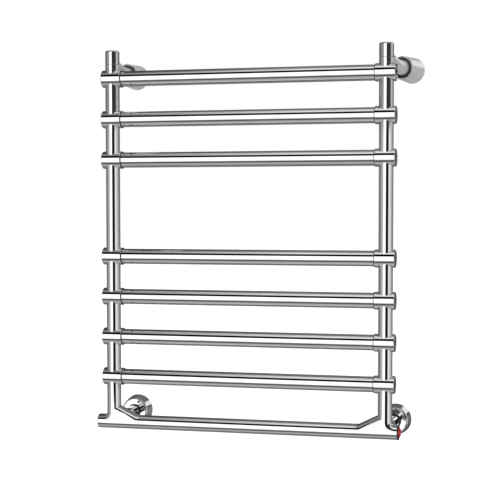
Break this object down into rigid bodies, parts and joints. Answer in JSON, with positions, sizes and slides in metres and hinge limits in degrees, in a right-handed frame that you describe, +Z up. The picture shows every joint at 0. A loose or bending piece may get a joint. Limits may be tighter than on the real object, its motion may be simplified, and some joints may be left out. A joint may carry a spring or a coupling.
{
  "type": "towel warmer rack",
  "caption": "Wall-hung electric towel warmer rack: chromed tube rails between two posts, heated bottom bar with a push switch, and adjustable wall brackets.",
  "frame": {"origin": "on the wall plane, midway between the axes of the two lower brackets", "axes": "+X to the right as seen from the front, +Y into the wall, +Z up"},
  "size_m": [0.5672, 0.1466, 0.6846],
  "materials": {
    "tube_chrome": "polished chrome plate",
    "cast_chrome": "polished chrome plate",
    "bracket_chrome": "polished chrome plate",
    "satin_chrome": "satin chrome plate",
    "seal_rubber": "matt black",
    "plate_steel": "turned, zinc plated",
    "screw_steel": "plain stainless",
    "black_plastic": "semi-gloss moulded",
    "red_plastic": "clear red, glossy",
    "cable_silicone": "matt silicone",
    "cutout_case": "drawn can",
    "terminal_brass": "tinned",
    "lamp_glass": "clear"
  },
  "bodies": {
    "rack": {"bottom_bar": "tube_chrome", "cable_grommet": "seal_rubber", "heating_cable": "cable_silicone", "left_corner": "cast_chrome", "left_end_cap": "cast_chrome", "left_lower_arm": "bracket_chrome", "left_lower_wall_plate": "plate_steel", "left_post": "tube_chrome", "left_post_cap": "cast_chrome", "left_sleeve_1": "cast_chrome", "left_sleeve_2": "cast_chrome", "left_sleeve_3": "cast_chrome", "left_sleeve_4": "cast_chrome", "left_sleeve_5": "cast_chrome", "left_sleeve_6": "cast_chrome", "left_sleeve_7": "cast_chrome", "lower_grub_screws": "screw_steel", "post_cap_washers": "seal_rubber", "rail_1": "tube_chrome", "rail_2": "tube_chrome", "rail_3": "tube_chrome", "rail_4": "tube_chrome", "rail_5": "tube_chrome", "rail_6": "tube_chrome", "rail_7": "tube_chrome", "right_corner": "cast_chrome", "right_lower_arm": "bracket_chrome", "right_lower_wall_plate": "plate_steel", "right_post": "tube_chrome", "right_post_cap": "cast_chrome", "right_sleeve_1": "cast_chrome", "right_sleeve_2": "cast_chrome", "right_sleeve_3": "cast_chrome", "right_sleeve_4": "cast_chrome", "right_sleeve_5": "cast_chrome", "right_sleeve_6": "cast_chrome", "right_sleeve_7": "cast_chrome", "sleeve_end_plugs": "cast_chrome", "sleeve_rings": "seal_rubber", "switch_bezel": "black_plastic", "switch_body": "black_plastic", "switch_lamp": "lamp_glass", "switch_spring": "screw_steel", "switch_terminals": "terminal_brass", "thermal_cutout": "cutout_case"},
    "left_bracket": {"left_upper_arm": "satin_chrome", "left_upper_wall_plate": "plate_steel", "left_upper_grub_screw": "screw_steel"},
    "right_bracket": {"right_upper_arm": "satin_chrome", "right_upper_wall_plate": "plate_steel", "right_upper_grub_screw": "screw_steel"},
    "left_drum": {"left_upper_drum": "satin_chrome", "left_upper_drum_ring": "seal_rubber"},
    "right_drum": {"right_upper_drum": "satin_chrome", "right_upper_drum_ring": "seal_rubber"},
    "left_rosette": {"left_lower_rosette": "bracket_chrome", "left_lower_rosette_ring": "seal_rubber"},
    "right_rosette": {"right_lower_rosette": "bracket_chrome", "right_lower_rosette_ring": "seal_rubber"},
    "button": {"switch_button": "red_plastic"}
  },
  "joints": [
    {"name": "left_bracket_swivel", "type": "hinge", "parent": "rack", "child": "left_bracket", "pos_m": [-0.245, -0.13, 0.6212], "axis": [0, 0, 1], "range_deg": [-15, 15]},
    {"name": "right_bracket_swivel", "type": "hinge", "parent": "rack", "child": "right_bracket", "pos_m": [0.245, -0.13, 0.6212], "axis": [0, 0, 1], "range_deg": [-3, 27]},
    {"name": "left_drum_slide", "type": "slide", "parent": "left_bracket", "child": "left_drum", "axis": [0, -1, 0], "range_m": [0, 0.028]},
    {"name": "right_drum_slide", "type": "slide", "parent": "right_bracket", "child": "right_drum", "axis": [-0.2079, -0.9781, 0], "range_m": [0, 0.028]},
    {"name": "left_rosette_slide", "type": "slide", "parent": "rack", "child": "left_rosette", "axis": [0, -1, 0], "range_m": [0, 0.06]},
    {"name": "right_rosette_slide", "type": "slide", "parent": "rack", "child": "right_rosette", "axis": [0, -1, 0], "range_m": [0, 0.06]},
    {"name": "power_button_press", "type": "slide", "parent": "rack", "child": "button", "axis": [-1, 0, 0], "range_m": [0, 0.0025], "stiffness_N_per_m": 1200, "springref_m": -0.0008, "deforming": ["switch_spring"]}
  ]
}
